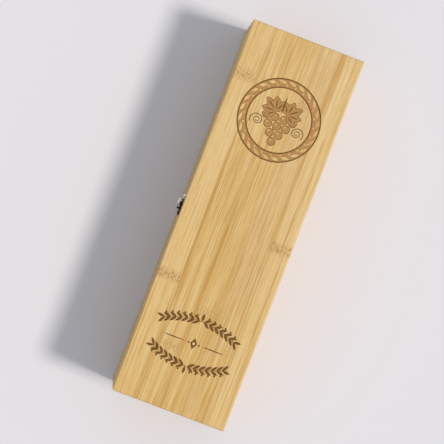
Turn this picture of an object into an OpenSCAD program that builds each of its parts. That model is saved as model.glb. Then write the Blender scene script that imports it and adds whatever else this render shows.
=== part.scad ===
// Bamboo gift box for one bottle of wine: a base, a lid on two butt hinges,
// and a pressed-metal clasp. X runs along the box, Y from front to back, Z up.
// The origin is the middle of the underside.

/* [Box] */
// Length of the box
box_l = 354; // [320:1:420]
// Width of the box, front to back
box_w = 106; // [100:1:130]
// Height of the base, up to the seam
base_h = 78; // [72:1:95]
// Height of the lid, from the seam to the top
lid_h = 27; // [24:1:40]
// Thickness of the side and end boards
wall_t = 8; // [7:0.5:10]
// Thickness of the lid's top panel
top_t = 8; // [6:0.5:10]
// Thickness of the floor panel
floor_t = 8; // [5:0.5:10]
// Radius of the eased outer edges
edge_r = 1.2; // [0.6:0.1:2.5]
// Depth of the small bevel along the seam
seam_bevel = 0.5; // [0.2:0.1:1]

/* [Finger joints] */
// Fingers at each corner of the base
base_fingers = 7; // [3:1:9]
// Fingers at each corner of the lid
lid_fingers = 2; // [2:1:4]

/* [Bottle rests] */
// Diameter of the largest bottle
bottle_d = 78; // [70:1:82]
// Diameter of the bottle's neck
neck_d = 31; // [27:1:36]
// Room around the bottle in its rests
bottle_gap = 0.75; // [0.5:0.25:1.5]
// Thickness of each rest, along the box
rest_t = 12; // [8:1:20]
// Wood under the bottle in the body rest
rest_under = 5; // [3:0.5:8]
// Height of the body rest above the floor panel
body_rest_h = 30; // [24:1:36]
// Height of the neck rest above the bottle's middle line
neck_rest_up = 6; // [3:1:10]
// Body rest, from the left end board
body_rest_in = 85; // [40:1:110]
// Neck rest, from the right end board
neck_rest_in = 55; // [30:1:80]

/* [Hinges] */
// Middle of each hinge, from the nearest end of the box
hinge_in = 67; // [40:1:120]
// Length of each hinge
hinge_l = 25; // [20:1:40]
// Length of the lid leaf's own knuckle
lid_knuckle_l = 9; // [6:0.5:12]
// Height of each leaf, from the seam
hinge_leaf_h = 9; // [7:0.5:11]
// Thickness of each leaf
hinge_leaf_t = 0.9; // [0.8:0.1:1.2]
// Outside diameter of the hinge knuckles
hinge_knuckle_d = 3.2; // [2.8:0.1:4]
// Diameter of the hinge pins
hinge_pin_d = 1.4; // [1:0.1:1.7]
// Distance between the two screws of a leaf
screw_pitch = 16; // [12:0.5:18]
// Height of the screws from the seam
screw_up = 5.6; // [4.4:0.1:6]
// Diameter of the countersunk screw heads
screw_head_d = 2.7; // [2.2:0.1:2.9]
// Diameter of the screw shanks
screw_d = 1.4; // [1:0.1:1.6]
// Length of the screws
screw_l = 6; // [4:0.5:6.5]

/* [Clasp] */
// Width of the clasp's two nailed plates
clasp_w = 21; // [20:0.5:26]
// Width of the flap
flap_w = 10.5; // [8:0.5:11]
// Width of the flap's own knuckle
flap_knuckle_w = 5; // [3:0.5:5.5]
// Thickness of the clasp's sheet metal
clasp_t = 0.8; // [0.6:0.1:1]
// Outside diameter of the clasp's knuckles
clasp_knuckle_d = 3.4; // [3:0.1:4]
// Diameter of the clasp's pin
clasp_pin_d = 1.4; // [1:0.1:1.6]
// Height of the clasp's pin above the seam
clasp_up = 4; // [3.5:0.5:6]
// Height of the lid plate above the pin
lid_plate_h = 9; // [8:0.5:12]
// Depth of the lid plate's ears below the pin
lid_plate_low = 1.6; // [0.5:0.1:2]
// Middle of the catch, below the pin
catch_down = 11.5; // [10.5:0.5:13]
// Height of the catch plate
catch_plate_h = 11; // [9:0.5:12]
// Width of the catch's hump
hump_w = 4.4; // [3:0.1:5]
// Radius of the catch's hump
hump_r = 1.5; // [1.2:0.1:1.7]
// How far the hump stands out of the catch plate
hump_stand = 0.85; // [0.6:0.05:1.1]
// Straight part of the flap below the middle of the catch
flap_below = 3.4; // [3:0.1:6]
// Inside radius of the flap's finger lip
lip_r = 2.3; // [1.5:0.1:3.5]
// Corner radius of the plates and of the lip
plate_corner_r = 1.8; // [0.8:0.1:2.5]
// Diameter of the nail heads
nail_head_d = 4; // [3:0.1:4.5]
// Height of the nail heads
nail_head_h = 1.1; // [0.6:0.1:1.5]
// Diameter of the nail shanks
nail_d = 1.3; // [1:0.1:1.6]
// Length of the nails under the head
nail_l = 6.5; // [4:0.5:6.5]

/* [Engraving] */
// Depth of the burnt lines
line_depth = 0.4; // [0.3:0.05:0.6]
// Depth of the toned areas
tone_depth = 0.2; // [0.1:0.05:0.25]
// Outer radius of the round wreath
wreath_r = 38; // [30:0.5:40]
// Middle of the wreath, from the left end of the box
wreath_in = 76.5; // [60:0.5:110]
// Middle of the divider ornament, from the right end of the box
divider_in = 64; // [50:0.5:90]
// Half the width of the divider ornament
divider_half = 38; // [30:0.5:42]
// Width of the heavy lines
heavy_line = 1.1; // [0.6:0.1:1.5]
// Width of the fine lines
fine_line = 0.5; // [0.3:0.1:0.8]
// Distance between the wreath's two rings
wreath_band = 9; // [7:0.5:10]
// Leaves around the wreath
wreath_leaves = 24; // [16:1:26]
// Length of the wreath's leaves
wreath_leaf_l = 8; // [6:0.2:8.4]
// Radius of one grape
grape_r = 3.7; // [3:0.1:4]
// Length of the vine leaves
vine_leaf_l = 15; // [11:0.5:15.5]
// Height of the garlands above the divider's rule
divider_rise = 21; // [18:0.5:24]
// Length of the garlands' leaves
garland_leaf_l = 7.4; // [5:0.2:7.6]
// Leaf pairs on each half of a garland
garland_pairs = 7; // [5:1:8]
// Radius of the berries
berry_r = 0.9; // [0.6:0.05:1]

/* [Fits] */
// Gap between moving pieces of the hinges and the clasp
running_gap = 0.3; // [0.25:0.05:0.4]
// Gap between two knuckles, along the pin
knuckle_gap = 0.15; // [0.1:0.05:0.25]
// Gap between the flap and the catch plate behind it
flap_gap = 0.4; // [0.3:0.05:0.5]
// Radial gap around each pin
pin_gap = 0.05; // [0.02:0.01:0.1]
// Radial gap around nails and screws
hole_gap = 0.05; // [0.02:0.01:0.1]
// Gap around the leaves, in their recesses
recess_gap = 0.1; // [0.05:0.05:0.2]

/* [Hidden] */
$fn = 64;

// How far a cutter runs past the face it cuts
past = 1;

box_h = base_h + lid_h;
lid_wall_h = lid_h - top_t;
base_wall_h = base_h - floor_t;
inner_w = box_w - 2 * wall_t;

bottle_r = bottle_d / 2 + bottle_gap;
bottle_z = floor_t + rest_under + bottle_r;
neck_rest_h = bottle_z + neck_rest_up - floor_t;
body_rest_x = -box_l / 2 + wall_t + body_rest_in;
neck_rest_x = box_l / 2 - wall_t - neck_rest_in;

hinge_r = hinge_knuckle_d / 2;
hinge_y = box_w / 2 - hinge_leaf_t + hinge_r;
screw_cone_h = (screw_head_d - screw_d) / 2;
slot_w = screw_head_d / 7;
slot_l = screw_head_d * 0.65;
slot_depth = screw_cone_h / 2;

clasp_r = clasp_knuckle_d / 2;
clasp_y = -box_w / 2 - clasp_r;
clasp_z = base_h + clasp_up;
catch_z = clasp_z - catch_down;
hump_out = clasp_t + hump_stand - hump_r;
flap_in = clasp_t + flap_gap;
window_w = hump_w + 2 * running_gap;
window_h = 2 * hump_r;
lip_z = -catch_down - flap_below;
nail_x = (flap_w + clasp_w) / 4;
nail_up = lid_plate_h / 2;
dome_r = (pow(nail_head_d / 2, 2) + pow(nail_head_h, 2)) / (2 * nail_head_h);

// The bunch of grapes, from its top row down
bunch_rows = 4;
bunch_y = 1.5;
grape_pitch = 2 * (grape_r + fine_line);
glint_r = grape_r * 0.25;
glint_off = grape_r * 0.35;

// The two vine leaves and the stalk between them
vine_side_lobes = 2;
vine_spread = 38;
vine_turn = 52;
vine_lobe_w = vine_leaf_l * 0.42;
vine_lobe_step = vine_leaf_l * 0.12;
vine_leaf_x = vine_leaf_l * 0.35;
vine_leaf_y = bunch_y + grape_r + 1.5;
vine_gap = fine_line * 1.5;
vein_l = vine_leaf_l * 0.72;
vein_in = heavy_line * 1.5;
stalk_l = vine_leaf_l * 1.15;
stalk_w = heavy_line * 1.4;

// The curled tendrils beside the bunch
curl_turns = 4;
curl_ratio = 0.68;
curl_thin = 0.9;
curl_tilt = 35;
curl_r = vine_leaf_l * 0.36;
curl_w = fine_line * 1.6;
curl_x = grape_pitch * 2.35;
curl_y = bunch_y - grape_pitch * 0.95;

// The wreath's band
band_mid_r = wreath_r - wreath_band / 2;
wreath_leaf_w = wreath_leaf_l * 0.33;
wreath_leaf_tilt = 18;
wreath_berry_in = wreath_band * 0.18;

// The divider's garlands, lozenge and rule
garland_r = 2 * divider_half;
garland_step = 28 / garland_pairs;
garland_start = 0.35;
garland_tilt = 32;
garland_leaf_w = garland_leaf_l * 0.34;
garland_berry_out = garland_leaf_l * 0.62;
lozenge_w = 3.2;
lozenge_h = 5.2;
lozenge_hole_r = lozenge_w * 0.4;
rule_l = divider_half * 0.62;

bamboo = [0.87, 0.74, 0.51];
bamboo_side = [0.80, 0.66, 0.43];
nickel = [0.72, 0.71, 0.69];
steel = [0.60, 0.60, 0.62];

// ---------------------------------------------------------------- outlines

// A rectangle with rounded corners, about its own middle.
module round_rect(w, h, r) {
    square([w - 2 * r, h], center = true);
    square([w, h - 2 * r], center = true);
    for (sx = [-1, 1], sy = [-1, 1])
        translate([sx * (w / 2 - r), sy * (h / 2 - r)]) circle(r = r);
}

// The pointed oval where two circles cross, with one tip at the origin.
module leaf_shape(len, wid) {
    r = (pow(len / 2, 2) + pow(wid / 2, 2)) / wid;
    translate([0, len / 2])
        intersection() {
            translate([r - wid / 2, 0]) circle(r = r);
            translate([wid / 2 - r, 0]) circle(r = r);
        }
}

// A ring of the given middle radius and line width.
module ring_line(r, w) {
    difference() {
        circle(r = r + w / 2);
        circle(r = r - w / 2);
    }
}

// ------------------------------------------------------------------- boards

// The whole box as one block with all twelve edges eased.
module eased_block() {
    intersection() {
        linear_extrude(box_h) round_rect(box_l, box_w, edge_r);
        translate([0, box_w / 2, box_h / 2])
            rotate([90, 0, 0]) linear_extrude(box_w) round_rect(box_l, box_h, edge_r);
        translate([-box_l / 2, 0, box_h / 2])
            rotate([90, 0, 90]) linear_extrude(box_l) round_rect(box_w, box_h, edge_r);
    }
}

// The V-shaped groove that bevels the outer edges on both sides of the seam.
module seam_groove() {
    s = seam_bevel * sqrt(2);
    for (side = [-1, 1]) {
        translate([0, side * box_w / 2, base_h])
            rotate([45, 0, 0]) cube([box_l + 2 * past, s, s], center = true);
        translate([side * box_l / 2, 0, base_h])
            rotate([0, 45, 0]) cube([s, box_w + 2 * past, s], center = true);
    }
}

// Four corner blocks between two heights, wide enough to cut through a board
// along X (past_x) or along Y (past_y).
module corner_blocks(z0, z1, past_x, past_y) {
    for (sx = [-1, 1], sy = [-1, 1])
        translate([sx * (box_l / 2 - wall_t / 2 + (past - past_x) / 2),
                   sy * (box_w / 2 - wall_t / 2 + (past - past_y) / 2),
                   (z0 + z1) / 2])
            cube([wall_t + past + past_x, wall_t + past + past_y, z1 - z0], center = true);
}

// The fingers that one kind of board gives up to the other: every second cell
// of a corner, counted from the outer panel (from_z) towards the seam.
module finger_cells(from_z, to_z, count, parity, past_x, past_y) {
    step = (to_z - from_z) / count;
    dir = sign(step);
    for (i = [parity : 2 : count - 1]) {
        near = from_z + i * step - (i == 0 ? dir * past : 0);
        far = from_z + (i + 1) * step + (i == count - 1 ? dir * past : 0);
        corner_blocks(min(near, far), max(near, far), past_x, past_y);
    }
}

// A front or back board, from the outer panel to the seam.
module long_board(side, from_z, count) {
    difference() {
        intersection() {
            translate([-box_l / 2, side * (box_w / 2 - wall_t / 2) - wall_t / 2,
                       min(from_z, base_h)])
                cube([box_l, wall_t, abs(base_h - from_z)]);
            eased_block();
        }
        finger_cells(from_z, base_h, count, 1, 0, past);
        seam_groove();
    }
}

// An end board, from the outer panel to the seam.
module end_board(side, from_z, count) {
    difference() {
        intersection() {
            translate([side * (box_l / 2 - wall_t / 2) - wall_t / 2, -box_w / 2,
                       min(from_z, base_h)])
                cube([wall_t, box_w, abs(base_h - from_z)]);
            eased_block();
        }
        finger_cells(from_z, base_h, count, 0, past, 0);
        seam_groove();
    }
}

module base_floor() {
    color(bamboo)
        intersection() {
            translate([-box_l / 2, -box_w / 2, 0]) cube([box_l, box_w, floor_t]);
            eased_block();
        }
}

module base_front() {
    color(bamboo_side)
        difference() {
            long_board(-1, floor_t, base_fingers);
            clasp_nails(catch_z, hole_gap);
        }
}

module base_back() {
    color(bamboo_side)
        difference() {
            long_board(1, floor_t, base_fingers);
            hinge_recesses(-1);
        }
}

module base_end(side) {
    color(bamboo_side) end_board(side, floor_t, base_fingers);
}

module lid_front() {
    color(bamboo_side)
        difference() {
            long_board(-1, box_h - top_t, lid_fingers);
            clasp_nails(clasp_z + nail_up, hole_gap);
        }
}

module lid_back() {
    color(bamboo_side)
        difference() {
            long_board(1, box_h - top_t, lid_fingers);
            hinge_recesses(1);
        }
}

module lid_end(side) {
    color(bamboo_side) end_board(side, box_h - top_t, lid_fingers);
}

// ------------------------------------------------------------- bottle rests

// A cross board between the long boards, with an open-topped round seat.
module bottle_rest(x, h, seat_r) {
    difference() {
        translate([x - rest_t / 2, -inner_w / 2, floor_t]) cube([rest_t, inner_w, h]);
        translate([x - rest_t / 2 - past, 0, bottle_z])
            rotate([0, 90, 0]) cylinder(h = rest_t + 2 * past, r = seat_r);
        translate([x - rest_t / 2 - past, -seat_r, bottle_z])
            cube([rest_t + 2 * past, 2 * seat_r, bottle_r]);
    }
}

module bottle_body_rest() {
    color(bamboo) bottle_rest(body_rest_x, body_rest_h, bottle_r);
}

module bottle_neck_rest() {
    color(bamboo) bottle_rest(neck_rest_x, neck_rest_h, neck_d / 2 + bottle_gap);
}

// ------------------------------------------------------------------- hinges

// Children are drawn about the hinge's axis: the origin is the middle of the
// hinge on the seam line, and the boards' back faces look along +Y.
module at_hinge(side) {
    translate([side * (box_l / 2 - hinge_in), hinge_y, base_h]) children();
}

// A cylinder along X, from x0 to x1.
module along_x(x0, x1, r) {
    translate([x0, 0, 0]) rotate([0, 90, 0]) cylinder(h = x1 - x0, r = r);
}

// The two screws of one leaf, each grown all round by a gap. up is 1 for the
// lid's leaf and -1 for the base's.
module leaf_screws(up, gap) {
    for (sx = [-1, 1])
        translate([sx * screw_pitch / 2, -hinge_r + hinge_leaf_t, up * screw_up])
            rotate([90, 0, 0]) {
                translate([0, 0, -gap]) cylinder(h = screw_l + 2 * gap, d = screw_d + 2 * gap);
                cylinder(h = screw_cone_h, d1 = screw_head_d + 2 * gap, d2 = screw_d + 2 * gap);
            }
}

// One leaf of a hinge, with its own knuckles and room for the other's.
module hinge_leaf(up) {
    half = hinge_l / 2;
    mid = lid_knuckle_l / 2;
    color(steel)
        difference() {
            union() {
                translate([-half, -hinge_r, up > 0 ? 0 : -hinge_leaf_h])
                    cube([hinge_l, hinge_leaf_t, hinge_leaf_h]);
                if (up > 0)
                    along_x(-mid, mid, hinge_r);
                else
                    along_x(-half, half, hinge_r);
            }
            if (up > 0) {
                for (sx = [-1, 1])
                    translate([sx * (mid + half) / 2, 0, 0])
                        cube([half - mid, 2 * (hinge_r + running_gap),
                              2 * (hinge_r + running_gap)], center = true);
            } else {
                cube([lid_knuckle_l + 2 * knuckle_gap, 2 * (hinge_r + running_gap),
                      2 * (hinge_r + running_gap)], center = true);
            }
            along_x(-half - past, half + past, hinge_pin_d / 2 + pin_gap);
            leaf_screws(up, hole_gap);
        }
}

module hinge_pin(side) {
    color(steel) at_hinge(side) along_x(-hinge_l / 2, hinge_l / 2, hinge_pin_d / 2);
}

// The recesses, knuckle grooves and screw holes that both hinges take in a
// back board.
module hinge_recesses(up) {
    for (side = [-1, 1])
        at_hinge(side) {
            translate([-hinge_l / 2 - recess_gap, -hinge_r,
                       up > 0 ? -past : -hinge_leaf_h - recess_gap])
                cube([hinge_l + 2 * recess_gap, hinge_leaf_t + past,
                      hinge_leaf_h + recess_gap + past]);
            along_x(-hinge_l / 2 - recess_gap, hinge_l / 2 + recess_gap,
                    hinge_r + running_gap);
            leaf_screws(up, hole_gap);
        }
}

// All four screws of the base's leaves or of the lid's, with crossed slots.
module hinge_screws(up) {
    color(steel)
        for (side = [-1, 1])
            at_hinge(side)
                difference() {
                    leaf_screws(up, 0);
                    for (sx = [-1, 1], turn = [0, 90])
                        translate([sx * screw_pitch / 2, -hinge_r + hinge_leaf_t, up * screw_up])
                            rotate([0, turn, 0])
                                cube([slot_l, 2 * slot_depth, slot_w], center = true);
                }
}

// -------------------------------------------------------------------- clasp

// Children are drawn about the clasp's pin: the lid's front face is at
// y = clasp_r, and outward is -Y.
module at_clasp() {
    translate([0, clasp_y, clasp_z]) children();
}

// A nailed plate on the front, from its lower to its upper edge.
module front_plate(z0, z1) {
    translate([0, -box_w / 2, (z0 + z1) / 2])
        rotate([90, 0, 0]) linear_extrude(clasp_t)
            round_rect(clasp_w, z1 - z0, plate_corner_r);
}

// Two nail shanks through a front plate, grown by a gap.
module clasp_nails(z, gap) {
    for (sx = [-1, 1])
        translate([sx * nail_x, -box_w / 2 - clasp_t, z])
            rotate([-90, 0, 0])
                translate([0, 0, -gap])
                    cylinder(h = nail_l + 2 * gap, d = nail_d + 2 * gap);
}

// Two whole nails, with domed heads.
module domed_nails(z) {
    color(nickel) {
        clasp_nails(z, 0);
        for (sx = [-1, 1])
            intersection() {
                translate([sx * nail_x, -box_w / 2 - clasp_t - nail_head_h + dome_r, z])
                    sphere(r = dome_r);
                translate([sx * nail_x, -box_w / 2 - clasp_t, z])
                    rotate([90, 0, 0]) cylinder(h = nail_head_h + past, d = nail_head_d + past);
            }
    }
}

module clasp_catch_plate() {
    color(nickel)
        difference() {
            union() {
                front_plate(catch_z - catch_plate_h / 2, catch_z + catch_plate_h / 2);
                intersection() {
                    translate([0, -box_w / 2 - hump_out, catch_z])
                        along_x(-hump_w / 2, hump_w / 2, hump_r);
                    translate([-hump_w / 2, -box_w / 2 - clasp_t - hump_stand, catch_z - hump_r])
                        cube([hump_w, clasp_t + hump_stand, 2 * hump_r]);
                }
            }
            clasp_nails(catch_z, hole_gap);
        }
}

module clasp_lid_plate() {
    color(nickel)
        difference() {
            union() {
                front_plate(clasp_z - lid_plate_low, clasp_z + lid_plate_h);
                at_clasp() along_x(-flap_w / 2, flap_w / 2, clasp_r);
            }
            at_clasp() {
                cube([flap_knuckle_w + 2 * knuckle_gap, 2 * (clasp_r + running_gap),
                      2 * (clasp_r + running_gap)], center = true);
                along_x(-flap_w / 2 - past, flap_w / 2 + past, clasp_pin_d / 2 + pin_gap);
            }
            clasp_nails(clasp_z + nail_up, hole_gap);
        }
}

module clasp_pin() {
    color(steel) at_clasp() along_x(-flap_w / 2, flap_w / 2, clasp_pin_d / 2);
}

// The flap seen from its end, in the plane of outward distance and height
// about the pin: a straight strip, then a quarter turn out into the lip.
module flap_section() {
    face = flap_in - clasp_r;
    bend = face + clasp_t + lip_r;
    translate([face, lip_z]) square([clasp_t, -lip_z]);
    intersection() {
        translate([bend, lip_z]) ring_line(lip_r + clasp_t / 2, clasp_t);
        translate([bend - lip_r - clasp_t, lip_z - lip_r - clasp_t])
            square(lip_r + clasp_t);
    }
    translate([bend, lip_z - lip_r - clasp_t / 2]) circle(d = clasp_t);
}

module clasp_flap() {
    lip_out = flap_in + clasp_t + lip_r + clasp_t / 2 - clasp_r;
    color(nickel)
        at_clasp()
            difference() {
                union() {
                    intersection() {
                        translate([flap_w / 2, 0, 0])
                            rotate([90, 0, -90]) linear_extrude(flap_w) flap_section();
                        translate([0, past - lip_out / 2 + clasp_r, lip_z - 2 * lip_r])
                            linear_extrude(-lip_z + 2 * lip_r)
                                round_rect(flap_w, 2 * (lip_out / 2 + past + clasp_r),
                                           plate_corner_r);
                    }
                    along_x(-flap_knuckle_w / 2, flap_knuckle_w / 2, clasp_r);
                }
                for (sx = [-1, 1])
                    translate([sx * (flap_knuckle_w + flap_w) / 4 + sx * past / 2, 0, 0])
                        cube([(flap_w - flap_knuckle_w) / 2 + past, 2 * (clasp_r + running_gap),
                              2 * (clasp_r + running_gap)], center = true);
                along_x(-flap_w / 2 - past, flap_w / 2 + past, clasp_pin_d / 2 + pin_gap);
                translate([0, 0, -catch_down])
                    cube([window_w, 2 * clasp_knuckle_d, window_h], center = true);
            }
}

// ---------------------------------------------------------------- engraving
// The outlines lie in the reading plane: X to the reader's right, Y away.

// A curled line: half turns whose radius shrinks by the same ratio each time.
module curl(r, w, turns) {
    if (turns > 0) {
        intersection() {
            ring_line(r, w);
            translate([-r - w, 0]) square([2 * (r + w), r + w]);
        }
        translate([-r * (1 - curl_ratio), 0])
            rotate(180) curl(r * curl_ratio, w * curl_thin, turns - 1);
    }
}

// Places copies in a triangle of rows, the widest row on top.
module bunch(rows, pitch) {
    for (row = [0 : rows - 1], i = [0 : rows - 1 - row])
        translate([(i - (rows - 1 - row) / 2) * pitch, -row * pitch * sqrt(3) / 2]) children();
}

// A lobed vine leaf whose stalk end is the origin, grown all round.
module vine_leaf(grow) {
    for (lobe = [-vine_side_lobes : vine_side_lobes])
        rotate(lobe * vine_spread)
            translate([0, -grow])
                leaf_shape(vine_leaf_l - vine_lobe_step * abs(lobe) + 2 * grow,
                           vine_lobe_w + 2 * grow);
}

// The five veins of a vine leaf, which taper at both ends.
module vine_veins() {
    for (lobe = [-vine_side_lobes : vine_side_lobes])
        rotate(lobe * vine_spread)
            translate([0, vein_in])
                leaf_shape(vein_l - vine_lobe_step * abs(lobe), heavy_line);
}

// Places a left and a right vine leaf above the bunch.
module on_vine_stalks() {
    for (side = [-1, 1])
        translate([side * vine_leaf_x, vine_leaf_y]) rotate(-side * vine_turn) children();
}

// The grapes and the vine leaves, each grape with a bare glint.
module grape_tones() {
    difference() {
        translate([0, bunch_y])
            bunch(bunch_rows, grape_pitch)
                difference() {
                    circle(r = grape_r);
                    translate([-glint_off, glint_off]) circle(r = glint_r);
                }
        on_vine_stalks() vine_leaf(vine_gap);
    }
    on_vine_stalks() vine_leaf(0);
}

// The outlines of the grapes and leaves, the veins, the stalk and the tendrils.
module grape_lines() {
    difference() {
        translate([0, bunch_y]) bunch(bunch_rows, grape_pitch) ring_line(grape_r, fine_line);
        on_vine_stalks() vine_leaf(vine_gap);
    }
    on_vine_stalks() {
        difference() {
            vine_leaf(fine_line);
            vine_leaf(0);
        }
        vine_veins();
    }
    translate([0, vine_leaf_y - heavy_line]) leaf_shape(stalk_l, stalk_w);
    for (side = [0, 1])
        mirror([side, 0])
            translate([curl_x, curl_y]) rotate(-curl_tilt) curl(curl_r, curl_w, curl_turns);
}

// The wreath's two rings.
module wreath_lines() {
    ring_line(wreath_r - heavy_line / 2, heavy_line);
    ring_line(wreath_r - wreath_band + heavy_line / 2, heavy_line);
}

// The toned band between the rings, with slanted leaves and berries left bare.
module wreath_tones() {
    turn = 360 / wreath_leaves;
    difference() {
        ring_line(band_mid_r, wreath_band - 2 * heavy_line);
        for (i = [0 : wreath_leaves - 1]) {
            rotate(i * turn)
                translate([band_mid_r, -wreath_leaf_l / 2]) rotate(-wreath_leaf_tilt)
                    leaf_shape(wreath_leaf_l, wreath_leaf_w);
            rotate((i + 0.5) * turn)
                translate([band_mid_r - wreath_berry_in, 0]) circle(r = berry_r);
        }
    }
}

// Places children on a garland's arc, at a number of leaf steps to both sides
// of its middle, with Y outward from the arc.
module on_garland(steps) {
    for (side = [0, 1])
        mirror([side, 0]) rotate(-steps * garland_step) translate([0, garland_r]) children();
}

// One garland of leaf pairs along a shallow arc, arching away from the reader.
module garland_lines() {
    translate([0, divider_rise - garland_r]) {
        intersection() {
            ring_line(garland_r, fine_line);
            polygon([[0, 0], [-divider_half, garland_r + past], [divider_half, garland_r + past]]);
        }
        translate([0, garland_r]) leaf_shape(garland_leaf_l, garland_leaf_w);
        for (i = [0 : garland_pairs - 1])
            on_garland(i + garland_start)
                for (side = [-1, 1])
                    rotate(-90 + side * garland_tilt) leaf_shape(garland_leaf_l, garland_leaf_w);
        for (i = [1 : garland_pairs - 1])
            on_garland(i) translate([0, garland_berry_out]) circle(r = berry_r);
    }
}

// The divider: two garlands, and between them a lozenge on a tapered rule.
module divider_lines() {
    for (side = [0, 1]) mirror([0, side]) garland_lines();
    difference() {
        polygon([[0, lozenge_h], [lozenge_w, 0], [0, -lozenge_h], [-lozenge_w, 0]]);
        circle(r = lozenge_hole_r);
    }
    for (side = [-1, 1]) {
        translate([side * (lozenge_w + 2 * berry_r), 0]) circle(r = berry_r);
        translate([side * (lozenge_w + 4 * berry_r), 0])
            rotate(-side * 90) leaf_shape(rule_l, heavy_line);
    }
}

// A flat outline sunk into the lid's top, facing the reader at the right end.
module sunk(from_left, depth) {
    translate([-box_l / 2 + from_left, 0, box_h - depth])
        rotate([0, 0, 90]) linear_extrude(depth + past) children();
}

module lid_top() {
    color(bamboo)
        difference() {
            intersection() {
                translate([-box_l / 2, -box_w / 2, box_h - top_t]) cube([box_l, box_w, top_t]);
                eased_block();
            }
            sunk(wreath_in, tone_depth) grape_tones();
            sunk(wreath_in, tone_depth) wreath_tones();
            sunk(wreath_in, line_depth) grape_lines();
            sunk(wreath_in, line_depth) wreath_lines();
            sunk(box_l - divider_in, line_depth) divider_lines();
        }
}

// --------------------------------------------------------------------- nodes

base_floor();
base_front();
base_back();
base_end(-1);  // base_left_end
base_end(1);  // base_right_end
bottle_body_rest();
bottle_neck_rest();
clasp_catch_plate();
domed_nails(catch_z);  // clasp_catch_nails
at_hinge(-1) hinge_leaf(-1);  // left_hinge_base_leaf
at_hinge(1) hinge_leaf(-1);  // right_hinge_base_leaf
hinge_pin(-1);  // left_hinge_pin
hinge_pin(1);  // right_hinge_pin
hinge_screws(-1);  // hinge_base_screws
lid_top();
lid_front();
lid_back();
lid_end(-1);  // lid_left_end
lid_end(1);  // lid_right_end
at_hinge(-1) hinge_leaf(1);  // left_hinge_lid_leaf
at_hinge(1) hinge_leaf(1);  // right_hinge_lid_leaf
hinge_screws(1);  // hinge_lid_screws
clasp_lid_plate();
domed_nails(clasp_z + nail_up);  // clasp_lid_nails
clasp_pin();
clasp_flap();
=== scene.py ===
# %% [markdown]
# # A bamboo wine box
# The box is a base, a lid that turns on two hinges at the back, and a small pressed clasp at the
# front. Its boards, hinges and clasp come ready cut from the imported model, which is loaded as a
# fixed frame. What is made here is what the eye sees on them: the grain, the burnt ornament, the
# worn metal, and the few pressed pieces whose soft edges a plain solid does not have.

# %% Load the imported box
import math

import bmesh
import bpy
import numpy as np
from mathutils import Matrix, Vector


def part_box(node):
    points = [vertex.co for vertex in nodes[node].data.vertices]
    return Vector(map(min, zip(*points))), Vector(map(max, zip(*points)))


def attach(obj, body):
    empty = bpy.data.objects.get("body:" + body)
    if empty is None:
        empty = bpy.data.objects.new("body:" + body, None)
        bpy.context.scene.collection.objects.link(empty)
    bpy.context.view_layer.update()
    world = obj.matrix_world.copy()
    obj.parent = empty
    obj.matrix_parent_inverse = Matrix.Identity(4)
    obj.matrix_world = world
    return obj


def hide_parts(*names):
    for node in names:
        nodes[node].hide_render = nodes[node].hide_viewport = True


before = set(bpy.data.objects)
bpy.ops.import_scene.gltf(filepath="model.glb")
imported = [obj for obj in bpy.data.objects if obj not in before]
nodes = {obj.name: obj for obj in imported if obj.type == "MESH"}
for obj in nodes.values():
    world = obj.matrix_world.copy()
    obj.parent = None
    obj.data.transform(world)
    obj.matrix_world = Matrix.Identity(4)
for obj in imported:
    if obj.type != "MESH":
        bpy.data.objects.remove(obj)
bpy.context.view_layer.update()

# %% [markdown]
# ## The camera
# The picture is taken from almost straight above, from nearly two metres away, so that the sides
# of the box hardly show and its long edges stay parallel. The camera is turned so that the box
# leans a little to the left, as a thing does that somebody has just put down.

# %% Place the camera
eye = Vector((0.03398, -0.10496, 1.90041))
look = Vector((-0.01748, 0.05002, -0.99860)).normalized()
picture_top = Vector((-0.93399, -0.35729, -0.00155))
side = look.cross(picture_top).normalized()
upright = side.cross(look)
camera = bpy.data.objects.new("camera", bpy.data.cameras.new("camera"))
camera.data.sensor_width = 36.0
camera.data.lens = 163.4
camera.matrix_world = Matrix.Translation(eye) @ Matrix((side, upright, -look)).transposed().to_4x4()
bpy.context.scene.collection.objects.link(camera)
bpy.context.scene.camera = camera
bpy.context.scene.view_settings.view_transform = "Standard"
print("camera", round(eye.length, 3), "m away")

# %% [markdown]
# ## Nodes that read like sums
# A material is a graph of nodes, and most of them only add, multiply or compare. A small class
# keeps one output socket, and its plus, minus and times signs place the nodes that do the sum.
# So the grain below can be read as a formula. Every other node comes from one method, node().

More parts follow.
